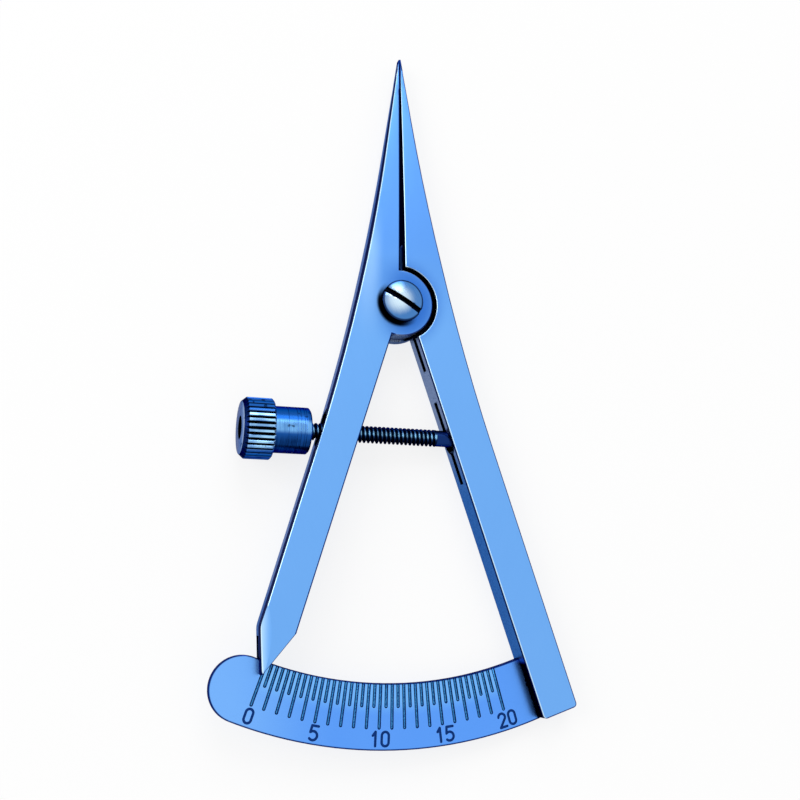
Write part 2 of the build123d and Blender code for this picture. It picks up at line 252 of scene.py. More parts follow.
# Inside corners of the arms where the light never gets to, from where a shadow starts to where it
# is full: places, heights and distances from the pivot in mm, flatness, and the normal towards the gap
darkFades = {
    "gapAcross": (1.5, 1.3),        # the gap between the jaws
    "gapFrom": (3.0, 3.6),
    "gapInward": (0.72, 0.90),
    "ringRound": (5.0, 4.9),        # the ring round the boss
    "ringFrom": (-3.4, -2.2),
    "ringUnder": (3.42, 3.32),
    "wall": (0.8, 0.6),             # both only on upright sides
    "slitTo": (4.9, 4.6),           # the slits that the plate, the swivel and the tongue run in
    "slitFlat": (0.6, 0.8),
    "slitUnder": (3.12, 3.04),
    "slitOver": (0.15, 0.25),
    "ledgeLeft": (1.3, 0.5),        # the slit's ledge below the hub, which is open to the light
    "ledgeBelow": (-3.6, -4.0),
    "ledgeRound": (5.4, 5.2),
}


def darkPlaces(tree, x, y, height, fromPivot, flatness, inward):
    at = darkFades
    gap = mask(tree, at, gapAcross=calc(tree, "ABSOLUTE", x), gapFrom=y, gapInward=inward)
    ring = mask(tree, at, ringRound=fromPivot, ringFrom=y, ringUnder=height)
    slit = mask(tree, at, slitTo=y, slitFlat=flatness, slitUnder=height, slitOver=height)
    ledge = calc(tree, "MULTIPLY", slit, mask(tree, at, ledgeLeft=x, ledgeBelow=y, ledgeRound=fromPivot))
    walls = calc(tree, "MULTIPLY", calc(tree, "MAXIMUM", gap, ring), mask(tree, at, wall=flatness))
    return calc(tree, "MAXIMUM", walls, calc(tree, "SUBTRACT", slit, ledge)), ledge


armLook = {
    "face": paint(104, 166, 237),
    "pale": paint(122, 180, 245),
    "paleShare": 0.35,
    "jaw": paint(92, 152, 232),
    "jawShare": 0.9,
    "sheen": paint(138, 188, 246),
    "sheenAt": -4.2,                # X of its middle, mm
    "deep": paint(56, 116, 206),
    "grimeWay": (-0.75, -0.66),     # from the pivot, along X and Y
    "facet": paint(186, 226, 255),
    "facetEdge": ((-16.26, -39.6), (-15.92, -44.86)),       # the point's outer edge, mm
    "rimLight": paint(206, 236, 255),
    "rimShade": paint(12, 44, 118),
    "side": paint(84, 132, 208),
    "navy": paint(4, 22, 78),
    "black": paint(3, 6, 18),
    "tip": paint(12, 48, 124),
    "slate": paint(144, 158, 178),
    "streak": paint(38, 44, 66),
    "streakShare": 0.35,
    "satin": (0.16, 0.22),          # shares of the streaks and the clouds
    "roughness": 0.33,
    "spread": 0.10,
    "bump": (0.04, 0.01),           # strength, and depth in mm
}
# Where each painted effect starts and where it is full, as for the shadows
armFades = {
    "jaw": (-4.0, 9.0),             # the face deepens up the jaws
    "sheenAcross": (2.2, 0.3),      # and has a painted sheen left of the boss
    "sheenFrom": (-6.0, 5.0),
    "sheenTo": (14.0, 6.0),
    "besideBoss": (-4.6, 1.5),
    "roundBoss": (6.5, 2.8),
    "front": (0.3, 0.6),
    "grime": (-0.2, 0.7),
    "roundScrew": (3.25, 2.80),
    "facetTurned": (0.992, 0.980),
    "facetFrom": (-33.0, -35.0),
    "facetAcross": (-15.0, -16.6),
    "lineAcross": (0.20, 0.14),     # the painted highlight line along the point's outer edge
    "lineFrom": (-38.6, -39.6),
    "lineLeft": (-14.0, -15.0),
    "streaks": (0.50, 0.62),
    "hub": (5.2, 4.7),
    "closingAcross": (0.22, 0.10),  # the painted shade line where the jaws meet
    "closingFrom": (26.0, 30.0),
    "ends": (32.2, 32.8),
}
# What differs between the arms: the lean in degrees, the way to the gap along X, the heights where
# the sides' navy band of painted dark reflection starts and is full, and the sides' painted reflection
# and shade tones from the jaw tips down, each with the Y where it starts and is full
pointerOwn = {
    "lean": -18.0,
    "inward": 1,
    "navyBand": (1.3, 2.0),
    "tones": [(None, paint(152, 180, 232)), ((12.0, -4.0), paint(186, 206, 244)),
              ((-34.0, -37.0), paint(140, 172, 224))],
}
scaleArmOwn = {
    "lean": 18.0,
    "inward": -1,
    "navyBand": (2.9, 3.15),
    "tones": [(None, paint(84, 96, 138)), ((2.0, -6.0), paint(156, 172, 200)),
              ((-14.0, -24.0), paint(94, 136, 198)), ((-43.2, -43.8), armLook["black"])],
}


def finishArm(name, look, at, own):
    material, tree, shader, where = newMaterial(name, look["roughness"])
    masks = useGroup(tree, sideMasks, Normal=where["Normal"])
    haze = addSatin(tree, where, look, own["lean"])
    x, y, height = inMm(tree, where["Object"])
    facing = separate(tree, where["Normal"])
    flatness = calc(tree, "ABSOLUTE", facing["Z"])
    inward = calc(tree, "MULTIPLY", facing["X"], own["inward"])
    fromPivot = distance(tree, x, y)
    dark, ledge = darkPlaces(tree, x, y, height, fromPivot, flatness, inward)

    # The face is deeper along the jaws, deepest beside the boss as painted shade, with a painted sheen left of
    # the boss and a painted shadow round the screw
    face = blendColors(tree, calc(tree, "ADD", look["paleShare"], haze["Tone"]), look["face"], look["pale"])
    face = blendColors(tree, calc(tree, "MULTIPLY", mask(tree, at, jaw=y), look["jawShare"]), face, look["jaw"])
    fromSheen = calc(tree, "ABSOLUTE", calc(tree, "SUBTRACT", x, look["sheenAt"]))
    sheen = mask(tree, at, sheenAcross=fromSheen, sheenFrom=y, sheenTo=y)
    face = blendColors(tree, sheen, face, look["sheen"])
    besideBoss = mask(tree, at, besideBoss=x, roundBoss=fromPivot, front=facing["Z"])
    face = blendColors(tree, besideBoss, face, look["deep"])
    wayX, wayY = look["grimeWay"]
    along = calc(tree, "MULTIPLY_ADD", x, wayX, calc(tree, "MULTIPLY", y, wayY))
    grime = mask(tree, at, grime=calc(tree, "DIVIDE", along, fromPivot), roundScrew=fromPivot, front=facing["Z"])
    face = blendColors(tree, grime, face, look["black"])

    # The point's facet is near white towards its outer edge, a painted highlight, with a painted highlight line
    # along that edge
    facet = mask(tree, at, facetTurned=flatness, facetFrom=y, facetAcross=x)
    face = blendColors(tree, facet, face, look["facet"])
    (topX, topY), (endX, endY) = look["facetEdge"]
    lean = (endX - topX) / (endY - topY)
    fromEdge = calc(tree, "SUBTRACT", x, calc(tree, "MULTIPLY_ADD", y, lean, topX - topY * lean))
    edgeHighlight = mask(tree, at, lineAcross=fromEdge, lineFrom=y, lineLeft=x)
    face = blendColors(tree, edgeHighlight, face, look["rimLight"])

    # The rounded edge: a painted highlight line on the left, a painted shade line on the right
    edge = blendColors(tree, masks["Left"], look["rimShade"], look["rimLight"])
    color = blendColors(tree, masks["Rim"], face, edge)

    # Sides that look left have painted reflection tones along the arm, painted shade black at the scale arm's
    # foot and a navy band of painted dark reflection at the front, the hub is streaked slate all round, and the
    # other sides are plain
    flank = own["tones"][0][1]
    for (low, high), tone in own["tones"][1:]:
        flank = blendColors(tree, fade(tree, y, low, high), flank, tone)
    streaks = mask(tree, at, streaks=haze["Streak"])
    flank = blendColors(tree, calc(tree, "MULTIPLY", streaks, look["streakShare"]), flank, look["navy"])
    hub = mask(tree, at, hub=fromPivot)
    slate = blendColors(tree, streaks, look["slate"], look["streak"])
    flank = blendColors(tree, hub, flank, slate)
    band = calc(tree, "MULTIPLY", mask(tree, own, navyBand=height), calc(tree, "SUBTRACT", 1.0, hub))
    flank = blendColors(tree, band, flank, look["navy"])
    flank = blendColors(tree, calc(tree, "MAXIMUM", masks["Left"], hub), look["side"], flank)
    color = blendColors(tree, masks["Side"], color, flank)
    color = blendColors(tree, ledge, color, slate)
    color = blendColors(tree, dark, color, look["black"])

    # The jaws meet in a dark line of painted shade, and their ends are dark
    closing = mask(tree, at, closingAcross=calc(tree, "ABSOLUTE", x), closingFrom=y)
    closing = calc(tree, "MAXIMUM", closing, mask(tree, at, ends=y))
    color = blendColors(tree, closing, color, look["tip"])
    connect(tree, shader, look, color, haze["Streak"])
    addBump(tree, shader, look, haze["Streak"])
    return material


# The engraved scale plate, in mm
plateSizes = {
    "inner": 45.95,                 # radii of its edges, and the middle of its round end
    "outer": 53.57,
    "cap": (-17.83, -46.45),
    "capAngle": -21.0,
    "capFrom": -18.6,               # left of this there is only the plain round end
    "front": 1.45,                  # height of the front face
    "short": 2.82,                  # length of the short marks
    "figuresFrom": 51.27,           # radius where the figures begin
    "marks": (-19.12, 15.94),       # the first and the last mark's angle, counted from -Y towards +X
    "foot": ((14.98, -40.0), (18.34, -49.78)),      # the arm's inner side where it crosses the plate
    "rounding": 0.05,
    "segments": 2,
    "nearArc": 0.02,                # an outline edge reaches this near to one of the arcs,
    "steep": 0.05,                  # and its side's normal has less Z than this
}
plateLook = {
    "face": paint(92, 156, 246),
    "pale": paint(118, 178, 250),
    "land": paint(132, 204, 252),
    "landShare": 0.45,
    "navy": paint(3, 14, 58),
    "floor": paint(34, 96, 162),
    "speck": paint(72, 148, 206),
    "speckGrain": (5200.0, 2.0, 0.6),       # scale, detail and roughness
    "figure": paint(18, 52, 118),
    "line": paint(8, 34, 104),
    "lineWidth": (0.22, 0.10),      # the dark line along the edges, from where it starts to where it is full
    "shade": paint(2, 10, 44),
    "grimeGrain": (1800.0, 3.0, 0.7),
    "ragged": (0.8, -0.40),         # how far that moves the edge of the painted shade, and its middle, mm
    "satin": (0.12, 0.3),
    "satinAngle": 90,
    "roughness": 0.30,
    "spread": 0.12,
}
plateFades = {
    "left": (-6.0, -21.0),
    "afterFirst": (0.05, 0.25),
    "beforeLast": (0.25, 0.05),
    "nearFront": (-0.20, -0.15),    # heights counted from the front face
    "floor": (-0.088, -0.108),
    "figures": (-0.05, -0.08),
    "landTo": (1.0, -1.0),          # radii counted from the short marks' ends and the figures' start
    "figuresOut": (-0.04, 0.0),
    "speck": (0.35, 0.70),
    "capPast": (0.1, -0.1),
    "capBefore": (-0.1, 0.1),
    "grime": (0.30, -0.20),
}


# How far a place is to the right of the line from the pivot at an angle counted from -Y towards +X:
# x cos a + y sin a
def offRadial(tree, x, y, angle):
    angle = math.radians(angle)
    return calc(tree, "MULTIPLY_ADD", x, math.cos(angle), calc(tree, "MULTIPLY", y, math.sin(angle)))


# Mask of a painted shade line along the two arcs and round the end
def plateEdge(tree, size, look, x, y, radius):
    start, end = look["lineWidth"]
    arcs = calc(tree, "MAXIMUM", fade(tree, radius, size["outer"] - start, size["outer"] - end),
                fade(tree, radius, size["inner"] + start, size["inner"] + end))
    offX, offY = (calc(tree, "SUBTRACT", part, middle) for part, middle in zip((x, y), size["cap"]))
    capRadius = (size["outer"] - size["inner"]) / 2
    past = offRadial(tree, offX, offY, size["capAngle"])
    cap = fade(tree, distance(tree, offX, offY), capRadius - start, capRadius - end)
    cap = calc(tree, "MULTIPLY", cap, mask(tree, plateFades, capPast=past))
    arcs = calc(tree, "MULTIPLY", arcs, mask(tree, plateFades, capBefore=past))
    return calc(tree, "MAXIMUM", arcs, cap)


def finishPlate(size, look, at):
    material, tree, shader, where = newMaterial("plateFinish", look["roughness"])
    masks = useGroup(tree, sideMasks, Normal=where["Normal"])
    haze = addSatin(tree, where, look, look["satinAngle"])
    place = where["Object"]
    x, y, height = inMm(tree, place)
    radius = distance(tree, x, y)
    level = calc(tree, "SUBTRACT", height, size["front"])
    nearFront = mask(tree, at, nearFront=level)
    # The face is paler towards the left end, a painted gradient of light, and varies with the satin haze
    face = blendColors(tree, calc(tree, "ADD", mask(tree, at, left=x), haze["Tone"]), look["face"], look["pale"])

    # The lands between the marks are paler, out to the short marks' ends
    first, last = (offRadial(tree, x, y, angle) for angle in size["marks"])
    outward = calc(tree, "SUBTRACT", radius, size["inner"] + size["short"])
    land = calc(tree, "MULTIPLY", mask(tree, at, afterFirst=first, beforeLast=last, landTo=outward), nearFront)
    face = blendColors(tree, calc(tree, "MULTIPLY", land, look["landShare"]), face, look["land"])
    # Rounded edges and the marks' walls are navy, a painted shade
    color = blendColors(tree, masks["Rim"], face, look["navy"])

    # The marks' floors are speckled, and the figures are one dark tone
    speck = mask(tree, at, speck=grain(tree, place, *look["speckGrain"]))
    floor = blendColors(tree, speck, look["floor"], look["speck"])
    sunk = calc(tree, "MULTIPLY", mask(tree, at, floor=level), nearFront)
    color = blendColors(tree, sunk, color, floor)
    outward = calc(tree, "SUBTRACT", radius, size["figuresFrom"])
    figures = calc(tree, "MULTIPLY", mask(tree, at, figures=level, figuresOut=outward), nearFront)
    color = blendColors(tree, figures, color, look["figure"])
    # A navy line of painted shade runs along the plate's edges
    color = blendColors(tree, plateEdge(tree, size, look, x, y, radius), color, look["line"])

    # Painted shade in the corner against the arm, with a ragged edge
    (startX, startY), (endX, endY) = size["foot"]
    length = math.hypot(endX - startX, endY - startY)
    acrossX, acrossY = (endY - startY) / length, -(endX - startX) / length
    apart = calc(tree, "MULTIPLY_ADD", calc(tree, "SUBTRACT", x, startX), acrossX,
                 calc(tree, "MULTIPLY", calc(tree, "SUBTRACT", y, startY), acrossY))
    ragged = calc(tree, "MULTIPLY_ADD", grain(tree, place, *look["grimeGrain"]), *look["ragged"])
    grime = mask(tree, at, grime=calc(tree, "ADD", apart, ragged))
    color = blendColors(tree, grime, color, look["shade"])
    connect(tree, shader, look, color, haze["Streak"])
    return material


# The pivot screw: a painted highlight on its dome, and painted shade on its rim, side, slot and the stem under
# its head
screwLook = {
    "dome": paint(72, 126, 190),
    "domeHighlight": paint(212, 236, 252),
    "shineAt": (-0.55, -0.25),      # the painted highlight's middle, along and across the slot, mm
    "shineHaze": 0.8,
    "rim": paint(22, 44, 84),
    "side": paint(4, 10, 30),
    "slot": paint(2, 5, 14),
    "slotAngle": -29.0,
    "satin": (0.3, 0.4),
    "roughness": 0.22,
    "spread": 0.12,
    "rounding": 0.05,               # mm
    "segments": 2,
}
screwFades = {
    "shine": (2.3, 0.5),
    "rim": (2.28, 2.48),            # radii on the head, mm
    "slotAcross": (0.38, 0.36),
    "slotUnder": (4.78, 4.60),      # heights, mm
    "stem": (4.30, 3.90),
}


def finishScrew(look, at):
    material, tree, shader, where = newMaterial("screwFinish", look["roughness"])
    masks = useGroup(tree, sideMasks, Normal=where["Normal"])
    haze = addSatin(tree, where, look, look["slotAngle"])
    turned = turnFlat(tree, where["Object"], -math.radians(look["slotAngle"]))
    along, across, height = inMm(tree, turned)
    offX, offY = (calc(tree, "SUBTRACT", part, middle) for part, middle in zip((along, across), look["shineAt"]))
    shine = calc(tree, "ADD", mask(tree, at, shine=distance(tree, offX, offY)),
                 calc(tree, "MULTIPLY", haze["Tone"], look["shineHaze"]))
    dome = blendColors(tree, shine, look["dome"], look["domeHighlight"])
    dome = blendColors(tree, mask(tree, at, rim=distance(tree, along, across)), dome, look["rim"])
    color = blendColors(tree, masks["Side"], dome, look["side"])
    inSlot = mask(tree, at, slotAcross=calc(tree, "ABSOLUTE", across), slotUnder=height)
    color = blendColors(tree, inSlot, color, look["slot"])
    color = blendColors(tree, mask(tree, at, stem=height), color, look["side"])
    connect(tree, shader, look, color, haze["Streak"])
    return material


# The spindle's axis, which the spindle and the knob are turned round
axisPlace = {
    "pinX": 8.403483,               # the swivel pin, from which places along the axis are counted, mm
    "drop": 16.5,
    "height": 1.75,
    "crease": 38,                   # degrees between faces past which an edge shows
}


def readSunk(tree):
    return addNode(tree, "ShaderNodeAttribute", attribute_name="sunk").outputs["Fac"]


# Place along the spindle's axis and distance from it in mm, and the way from it as two sines
def roundAxis(tree, place):
    x, y, z = separate(tree, place)
    along = calc(tree, "MULTIPLY_ADD", x, -1 / mm, axisPlace["pinX"])
    across = calc(tree, "MULTIPLY_ADD", y, 1 / mm, axisPlace["drop"])
    above = calc(tree, "MULTIPLY_ADD", z, 1 / mm, -axisPlace["height"])
    radius = distance(tree, across, above)
    return along, radius, calc(tree, "DIVIDE", across, radius), calc(tree, "DIVIDE", above, radius)


roundFades = {
    "deep": (0.1, -0.3),            # sines, counted from where the band has ended
    "behind": (0.1, -0.2),
}


# Painted light: the metal is palest along one line of the round, a painted highlight, and deepens away from it
# into painted shade, most on one side: the band says where the pale starts, is full, starts to end and has ended,
# as sines
def paintedRoundLight(tree, up, front, band, pale, middle, deep):
    start, full, ending, ended = band
    tone = blendColors(tree, fade(tree, up, start, full), middle, pale)
    tone = blendColors(tree, fade(tree, up, ending, ended), tone, middle)
    pastBand = calc(tree, "SUBTRACT", up, ended)
    tone = blendColors(tree, mask(tree, roundFades, deep=pastBand), tone, deep)
    return blendColors(tree, mask(tree, roundFades, behind=front), tone, middle)


# The knob, in mm: places are along the axis
knobSizes = {
    "start": 19.35, "head": 23.80, "end": 27.55,
    "radius": 3.66, "front": 3.15, "frontChamfer": 0.60, "backChamfer": 0.20,
    "hole": 1.35, "holeDepth": 1.60, "bore": 1.06, "seat": 20.07, "tailBore": 0.96,
    "collar": 2.80, "collarChamfer": 0.22,
    "teeth": 34, "toothDepth": 0.32,
    "turned": (0.65, 0.90, 1.32, 1.74, 2.80), "turnedDepth": 0.06, "turnedWidth": 0.10,
    "ease": (0.03, 0.02),           # how a chamfer's corners are eased, along the axis and across it
    "fillet": 0.05,
    "crestFrom": 0.35,              # where the crests' own steps begin, from the start of the head
    "steps": 9,
    "chamferShares": (0.12, 0.94),
}
# Crests with a painted highlight band over grooves darkened as painted shade, a slate end face, a dark chamfer, a
# hole darkened as painted shade, and turned lines
knobLook = {
    "crest": paint(164, 214, 250),
    "crestDeep": paint(40, 100, 184),
    "groove": paint(2, 8, 34),
    "collar": paint(26, 82, 160),
    "collarHighlight": paint(120, 184, 244),
    "deep": paint(6, 36, 84),
    "collarBand": (0.36, 0.14, -0.12, -0.34),
    "headBand": (0.50, 0.22, -0.62, -0.85),
    "rings": (14000, 300, 300),     # how the turned lines' grain is drawn out
    "ringGrain": (1.0, 3.0, 0.7),   # scale, detail and roughness
    "clouds": 700.0,
    "spotGrain": (1300.0, 1.0),
    "ringShare": 0.9,
    "cloudShare": 0.5,
    "spotShare": 0.7,
    "face": paint(156, 182, 224),
    "facePale": paint(190, 210, 242),
    "chamfer": paint(10, 28, 76),
    "hole": paint(2, 4, 12),
    "spot": paint(4, 14, 44),
    "roughness": 0.24,
    "spread": 0.16,
    "bump": (0.12, 0.02),           # strength, and depth in mm
}
knobFades = {
    "collarTone": (0.45, 0.85, 0.35, 1.0),
    "crestCloud": (0.40, 0.65, 0.0, 0.5),
    "head": (-0.02, 0.02),          # places counted from the start of the head, mm
    "face": (-0.04, -0.02),         # and from the end
    "chamfer": (-0.60, -0.54),
    "holeFrom": (-1.9, -1.7),
    "chamferOut": (0.2, 0.3),       # radii counted from the hole's
    "holeIn": (0.10, 0.02),
    "faceCloud": (0.3, 0.7),
    "sunk": (0.05, 0.45),
    "spot": (0.66, 0.74),
}


def finishKnob(size, look, at):
    material, tree, shader, where = newMaterial("knobFinish", look["roughness"])
    place = where["Object"]
    along, radius, up, front = roundAxis(tree, place)
    fromHead, fromEnd = (calc(tree, "SUBTRACT", along, size[name]) for name in ("head", "end"))
    fromHole = calc(tree, "SUBTRACT", radius, size["hole"])
    rings = grain(tree, stretch(tree, place, look["rings"]), *look["ringGrain"])
    cloud = grain(tree, place, look["clouds"])
    tone = calc(tree, "MULTIPLY_ADD", rings, look["ringShare"], calc(tree, "MULTIPLY", cloud, look["cloudShare"]))
    # The collar and the crests get a painted highlight band and painted shade on their lower side
    collar = paintedRoundLight(tree, up, front, look["collarBand"], look["collarHighlight"], look["collar"], look["deep"])
    collar = blendColors(tree, mask(tree, at, collarTone=tone), look["collar"], collar)
    crest = paintedRoundLight(tree, up, front, look["headBand"], look["crest"], look["crestDeep"], look["deep"])
    crest = blendColors(tree, mask(tree, at, crestCloud=cloud), crest, look["crestDeep"])
    color = blendColors(tree, mask(tree, at, head=fromHead), collar, crest)
    color = blendColors(tree, mask(tree, at, chamfer=fromEnd, chamferOut=fromHole), color, look["chamfer"])
    face = blendColors(tree, mask(tree, at, faceCloud=cloud), look["face"], look["facePale"])
    color = blendColors(tree, mask(tree, at, face=fromEnd), color, face)
    # The hole and the grooves between the teeth are darkened as painted shade
    color = blendColors(tree, mask(tree, at, holeIn=fromHole, holeFrom=fromEnd), color, look["hole"])
    color = blendColors(tree, mask(tree, at, sunk=readSunk(tree)), color, look["groove"])
    spot = mask(tree, at, spot=grain(tree, place, *look["spotGrain"]))
    color = blendColors(tree, calc(tree, "MULTIPLY", spot, look["spotShare"]), color, look["spot"])
    connect(tree, shader, look, color, rings)
    addBump(tree, shader, look, rings)
    return material


threadLook = {
    "glint": paint(130, 186, 226),
    "crest": paint(32, 66, 118),
    "root": paint(6, 14, 38),
    "clouds": 900.0,
    "cloud": (0.4, 0.6, 0.0, 0.5),
    "roughness": 0.2,
    "spread": 0.14,
}


def finishThread(look):
    material, tree, shader, where = newMaterial("threadFinish", look["roughness"])
    # A painted glint band along the round with painted shade on its lower side, and the groove darkened as
    # painted shade
    cloud = grain(tree, where["Object"], look["clouds"])
    up, front = roundAxis(tree, where["Object"])[2:]
    tone = paintedRoundLight(tree, up, front, knobLook["collarBand"], look["glint"], look["crest"], look["root"])
    color = blendColors(tree, mask(tree, look, cloud=cloud), tone, look["root"])
    color = blendColors(tree, readSunk(tree), color, look["root"])
    connect(tree, shader, look, color, cloud)
    return material


# The swivel and its journal pin, and the pieces that show only at the back
swivelLook = {
    "pale": paint(30, 62, 124),
    "base": paint(14, 36, 90),
    "dark": paint(4, 10, 30),
    "spotShare": 0.4,
    "roughness": 0.225,
}
hiddenLook = {
    "pale": paint(120, 130, 160),
    "base": paint(80, 92, 124),
    "dark": paint(20, 30, 60),
    "spotShare": 0.3,
    "roughness": 0.305,
}
turnedLook = {
    "paleShare": 0.35,
    "spotGrain": (1500.0, 1.0),
    "spot": (0.70, 0.78),
    "satin": (0.3, 0.4),
    "spread": 0.15,
}


def finishTurned(name, own):
    look = {**turnedLook, **own}
    material, tree, shader, where = newMaterial(name, look["roughness"])
    haze = addSatin(tree, where, look, 0)
    color = blendColors(tree, calc(tree, "ADD", look["paleShare"], haze["Tone"]), look["base"], look["pale"])
    spot = mask(tree, look, spot=grain(tree, where["Object"], *look["spotGrain"]))
    color = blendColors(tree, calc(tree, "MULTIPLY", spot, look["spotShare"]), color, look["dark"])
    connect(tree, shader, look, color, haze["Streak"])
    return material


pointerFinish = finishArm("pointerFinish", armLook, armFades, pointerOwn)
scaleArmFinish = finishArm("scaleArmFinish", armLook, armFades, scaleArmOwn)
plateFinish = finishPlate(plateSizes, plateLook, plateFades)
screwFinish = finishScrew(screwLook, screwFades)
knobFinish = finishKnob(knobSizes, knobLook, knobFades)
threadFinish = finishThread(threadLook)
spindleFinish = finishTurned("spindleFinish", swivelLook)
hiddenFinish = finishTurned("hiddenFinish", hiddenLook)
print("finishes made")


# Dressed copies of CAD nodes are merged, their flat faces joined and their outline edges rounded
dressing = {
    "doubles": 0.002,       # mm
    "flat": 0.4,            # degrees between faces that are joined
    "sharp": 11.5,          # edges that turn more stay crisp, unless they are rounded
    "round": 35,            # edges that turn outwards by more may be rounded
    "front": 0.9,           # a face whose normal has this much Z is of the front or back
}


def mergedCopy(node, name):
    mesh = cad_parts[node].data.copy()
    mesh.name = name
    mesh.materials.clear()
    work = bmesh.new()
    work.from_mesh(mesh)
    bmesh.ops.remove_doubles(work, verts=work.verts, dist=dressing["doubles"] * mm)
    flat = math.radians(dressing["flat"])
    bmesh.ops.dissolve_limit(work, angle_limit=flat, verts=work.verts, edges=work.edges)
    piece = bpy.data.objects.new(name, mesh)
    bpy.context.scene.collection.objects.link(piece)
    return piece, work


# Each edge is rounded to the share of width that chosen gives
def roundOff(piece, work, width, chosen, segments):
    weights = work.edges.layers.float.new("bevel_weight_edge")
    work.normal_update()
    for edge in work.edges:
        if edge.is_manifold:
            turn = math.degrees(edge.calc_face_angle_signed(0.0))
            share = chosen(edge) if turn > dressing["round"] else 0
            edge.smooth = share > 0 or abs(turn) < dressing["sharp"]
            if share:
                edge[weights] = share
    for face in work.faces:
        face.smooth = True
    work.to_mesh(piece.data)
    work.free()
    bevel = piece.modifiers.new("rounding", "BEVEL")
    bevel.width = width * mm
    bevel.segments = segments
    bevel.limit_method = "WEIGHT"
    bevel.use_clamp_overlap = False
    weigh = piece.modifiers.new("flat faces", "WEIGHTED_NORMAL")
    weigh.weight = 100
    weigh.keep_sharp = True


armSizes = {
    "thickness": 3.5,       # mm
    "taper": ((5.2, 1.75), (18.0, 1.30), (33.2, 0.42)),     # along the jaws: place, half thickness
    "strip": 1.2,           # the jaws' curved faces are cut into strips this wide
    "lift": 0.03,           # corners this near the true curve are lifted onto it
    "rounding": 0.20,
    "segments": 3,
    "onFace": 0.01,         # an outline edge's corners are this near the front or back
    "steep": 0.5,           # and its side's normal has at most this much Z
    "crosswise": 0.01,      # an edge whose ends differ less than this along the jaw runs across it
    "slack": 0.001,
    "pocketSide": 1.2,      # a pocket's side is lower than this many half thicknesses
    "straight": 3.0,        # and its edges are shorter than this, mm
    "crispTip": 1.0,        # the end of each jaw that isn't rounded, mm
    "widening": 0.13,       # a jaw's width gained per mm from the tip
    "roomShare": 0.35,      # of the room beside an edge, what its rounding may take
}


# Circle through the taper's three points, in the plane across the jaws
def taperCircle():
    (ay, az), (by, bz), (cy, cz) = armSizes["taper"]
    rows = np.array([[by - ay, bz - az], [cy - ay, cz - az]])
    sums = np.array([by ** 2 - ay ** 2 + bz ** 2 - az ** 2, cy ** 2 - ay ** 2 + cz ** 2 - az ** 2]) / 2
    centreY, centreZ = np.linalg.solve(rows, sums)
    return centreY, centreZ, math.hypot(ay - centreY, az - centreZ)


taperFrom, taperTo = armSizes["taper"][0][0], armSizes["taper"][2][0]
taperRound = taperCircle()


# Half the arm's thickness at a place along the jaws: flat up to the taper, then the circle's height
def halfThickness(y):
    centreY, centreZ, radius = taperRound
    return armSizes["thickness"] / 2 if y < taperFrom else centreZ + math.sqrt(radius ** 2 - (y - centreY) ** 2)


def offFace(vert):
    return abs(abs(vert.co.z / mm - armSizes["thickness"] / 2) - halfThickness(vert.co.y / mm))


# Flat strips across the curved jaws are cut finer and lifted onto the true curve, and other lines
# on the front and back inside the strips are taken out
def refineJaws(work):
    for y in np.arange(taperFrom, taperTo, armSizes["strip"]):
        geometry = work.verts[:] + work.edges[:] + work.faces[:]
        bmesh.ops.bisect_plane(work, geom=geometry, plane_co=(0, y * mm, 0), plane_no=(0, 1, 0), dist=1e-7)
    middle = armSizes["thickness"] / 2
    for vert in work.verts:
        if vert.co.y > taperFrom * mm and offFace(vert) < armSizes["lift"]:
            half = halfThickness(vert.co.y / mm)
            vert.co.z = (middle + math.copysign(half, vert.co.z / mm - middle)) * mm
    inside = []
    for edge in work.edges:
        low, high = sorted(vert.co.y / mm for vert in edge.verts)
        flat = [abs(face.normal.z) > dressing["front"] for face in edge.link_faces]
        if flat == [True, True] and low > taperFrom - armSizes["slack"] and high - low > armSizes["crosswise"]:
            inside.append(edge)
    bmesh.ops.dissolve_edges(work, edges=inside, use_verts=True)


# Distance from an edge to the nearest corner beside it on its flatter face, mm
def roomBeside(edge, face):
    base, along = edge.verts[0].co, edge.verts[1].co - edge.verts[0].co
    room = armSizes["thickness"]
    for vert in face.verts:
        place = (vert.co - base).dot(along) / along.length_squared
        if vert not in edge.verts and 0 < place < 1:
            room = min(room, (vert.co - base - place * along).length / mm)
    return room


# Share of the rounding for an edge where an upright side meets the front or back, and none for any
# other. Pockets in the back and the ends of the jaws stay crisp, and the rounding gets finer where
# a face is only a few roundings wide
def onOutline(edge):
    side, flat = sorted(edge.link_faces, key=lambda face: abs(face.normal.z))
    if abs(side.normal.z) > armSizes["steep"] or abs(flat.normal.z) < dressing["front"] \
            or any(offFace(vert) > armSizes["onFace"] for vert in edge.verts):
        return 0
    place = max(vert.co.y for vert in edge.verts) / mm
    heights = [vert.co.z / mm for vert in side.verts]
    low = max(heights) - min(heights) < armSizes["pocketSide"] * halfThickness(place)
    if flat.normal.z < 0 and low and edge.calc_length() < armSizes["straight"] * mm:
        return 0
    thin = min((taperTo - place - armSizes["crispTip"]) * armSizes["widening"], roomBeside(edge, flat))
    return max(0.0, min(1.0, armSizes["roomShare"] * thin / armSizes["rounding"]))


for node, body, finish in (("pointer_arm", "pointer", pointerFinish), ("scale_arm", "frame", scaleArmFinish)):
    piece, work = mergedCopy(node, node + "_dressed")
    refineJaws(work)
    roundOff(piece, work, armSizes["rounding"], onOutline, armSizes["segments"])
    piece.data.materials.append(finish)
    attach(piece, body)
    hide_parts(node)


